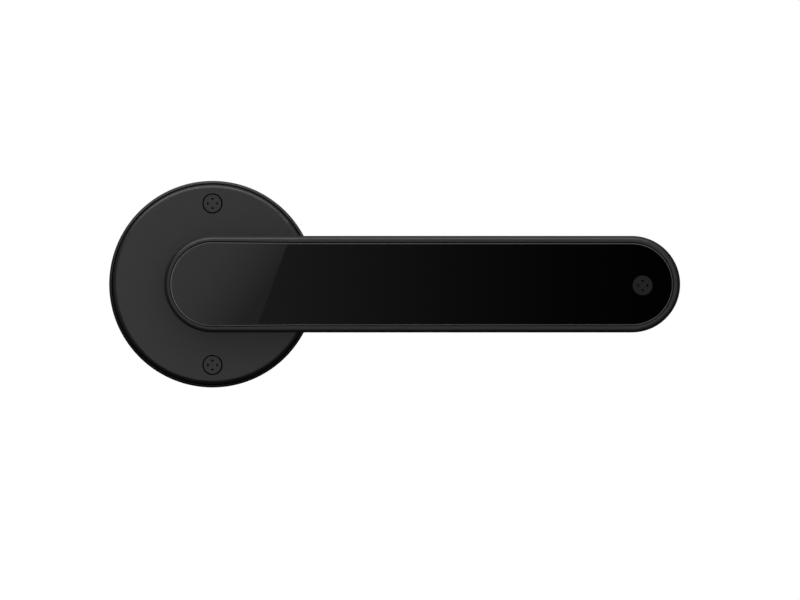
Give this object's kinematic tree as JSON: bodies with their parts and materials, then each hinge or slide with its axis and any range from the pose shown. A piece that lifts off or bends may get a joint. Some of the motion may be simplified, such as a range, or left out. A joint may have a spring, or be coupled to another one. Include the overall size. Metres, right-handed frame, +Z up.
{
  "type": "keypad smart lock",
  "caption": "Electronic door lock: flat lever handle with a plain black glass touch keypad, on a round rose with a square spindle behind.",
  "frame": {"origin": "centre of the rose's back face, on the turning axis of the lever", "axes": "+X along the lever from the turning axis to its tip, +Y into the door along the spindle, +Z up"},
  "size_m": [0.1801, 0.09, 0.0652],
  "materials": {
    "rose_paint": "fine matt powder coat",
    "lever_paint": "fine matt powder coat",
    "screw_black": "black oxide, satin",
    "panel_glass": "polished, black printed on the back",
    "rubber_black": "matt",
    "bearing_plastic": "natural acetal",
    "zinc_cast": "as cast, tumbled",
    "bright_steel": "zinc plated",
    "spring_steel": "oiled",
    "plated_screw": "nickel plated",
    "insert_brass": "turned",
    "board_green": "solder mask over glass fibre",
    "chip_plastic": "moulded epoxy",
    "lamp_plastic": "clear white",
    "mask_plastic": "black film",
    "tray_plastic": "moulded grey",
    "cell_wrap": "printed shrink film, plain",
    "contact_metal": "nickel plated",
    "cable_film": "amber film",
    "wire_cover": "silicone insulation",
    "motor_can": "drawn steel can"
  },
  "bodies": {
    "rose": {"door_gasket": "rubber_black", "mounting_plate": "rose_paint", "bolt_posts": "bright_steel", "rear_bush": "bearing_plastic", "rose_cover": "rose_paint", "rose_screws": "screw_black", "neck_bush": "bearing_plastic", "neck_seal": "rubber_black", "stop_pins": "bright_steel", "return_spring": "spring_steel", "spring_anchor_pin": "bright_steel"},
    "lever": {"lever_shell": "lever_paint", "neck_sleeve": "lever_paint", "neck_screws": "plated_screw", "thrust_washer": "bright_steel", "retaining_ring": "spring_steel", "drive_collar": "zinc_cast", "glass_panel": "panel_glass", "glass_gasket": "rubber_black", "light_mask": "mask_plastic", "key_lights": "lamp_plastic", "touch_board": "board_green", "panel_tray": "tray_plastic", "panel_screw": "screw_black", "tip_insert": "insert_brass", "controller_board": "board_green", "board_chips": "chip_plastic", "board_screws": "plated_screw", "buzzer": "chip_plastic", "flat_cable": "cable_film", "motor_leads": "wire_cover", "battery_leads": "wire_cover", "battery_holder": "tray_plastic", "battery_cells": "cell_wrap", "battery_contacts": "contact_metal", "clutch_motor": "motor_can", "motor_mount": "tray_plastic"},
    "clutch_screw": {"clutch_screw": "bright_steel"},
    "clutch_slider": {"clutch_slider": "zinc_cast"},
    "spindle": {"spindle_hub": "zinc_cast", "spindle": "bright_steel", "spindle_pin": "bright_steel"}
  },
  "joints": [
    {"name": "lever_turn", "type": "hinge", "parent": "rose", "child": "lever", "pos_m": [0, 0, 0], "axis": [0, 1, 0], "range_deg": [0, 45], "stiffness_Nm_per_rad": 1, "springref_deg": -34.38, "deforming": ["return_spring"]},
    {"name": "spindle_turn", "type": "hinge", "parent": "rose", "child": "spindle", "pos_m": [0, 0, 0], "axis": [0, 1, 0], "range_deg": [0, 45]},
    {"name": "clutch_screw_turn", "type": "hinge", "parent": "lever", "child": "clutch_screw", "pos_m": [0, 0, 0], "axis": [0, 1, 0], "range_deg": [0, 1080]},
    {"name": "clutch_slide", "type": "slide", "parent": "lever", "child": "clutch_slider", "axis": [0, -1, 0], "range_m": [0, 0.003]}
  ],
  "couplings": [
    {"joint": "spindle_turn", "follows": "lever_turn", "ratio": 1},
    {"joint": "clutch_screw_turn", "follows": "clutch_slide", "rad_per_m": 6283.2}
  ]
}
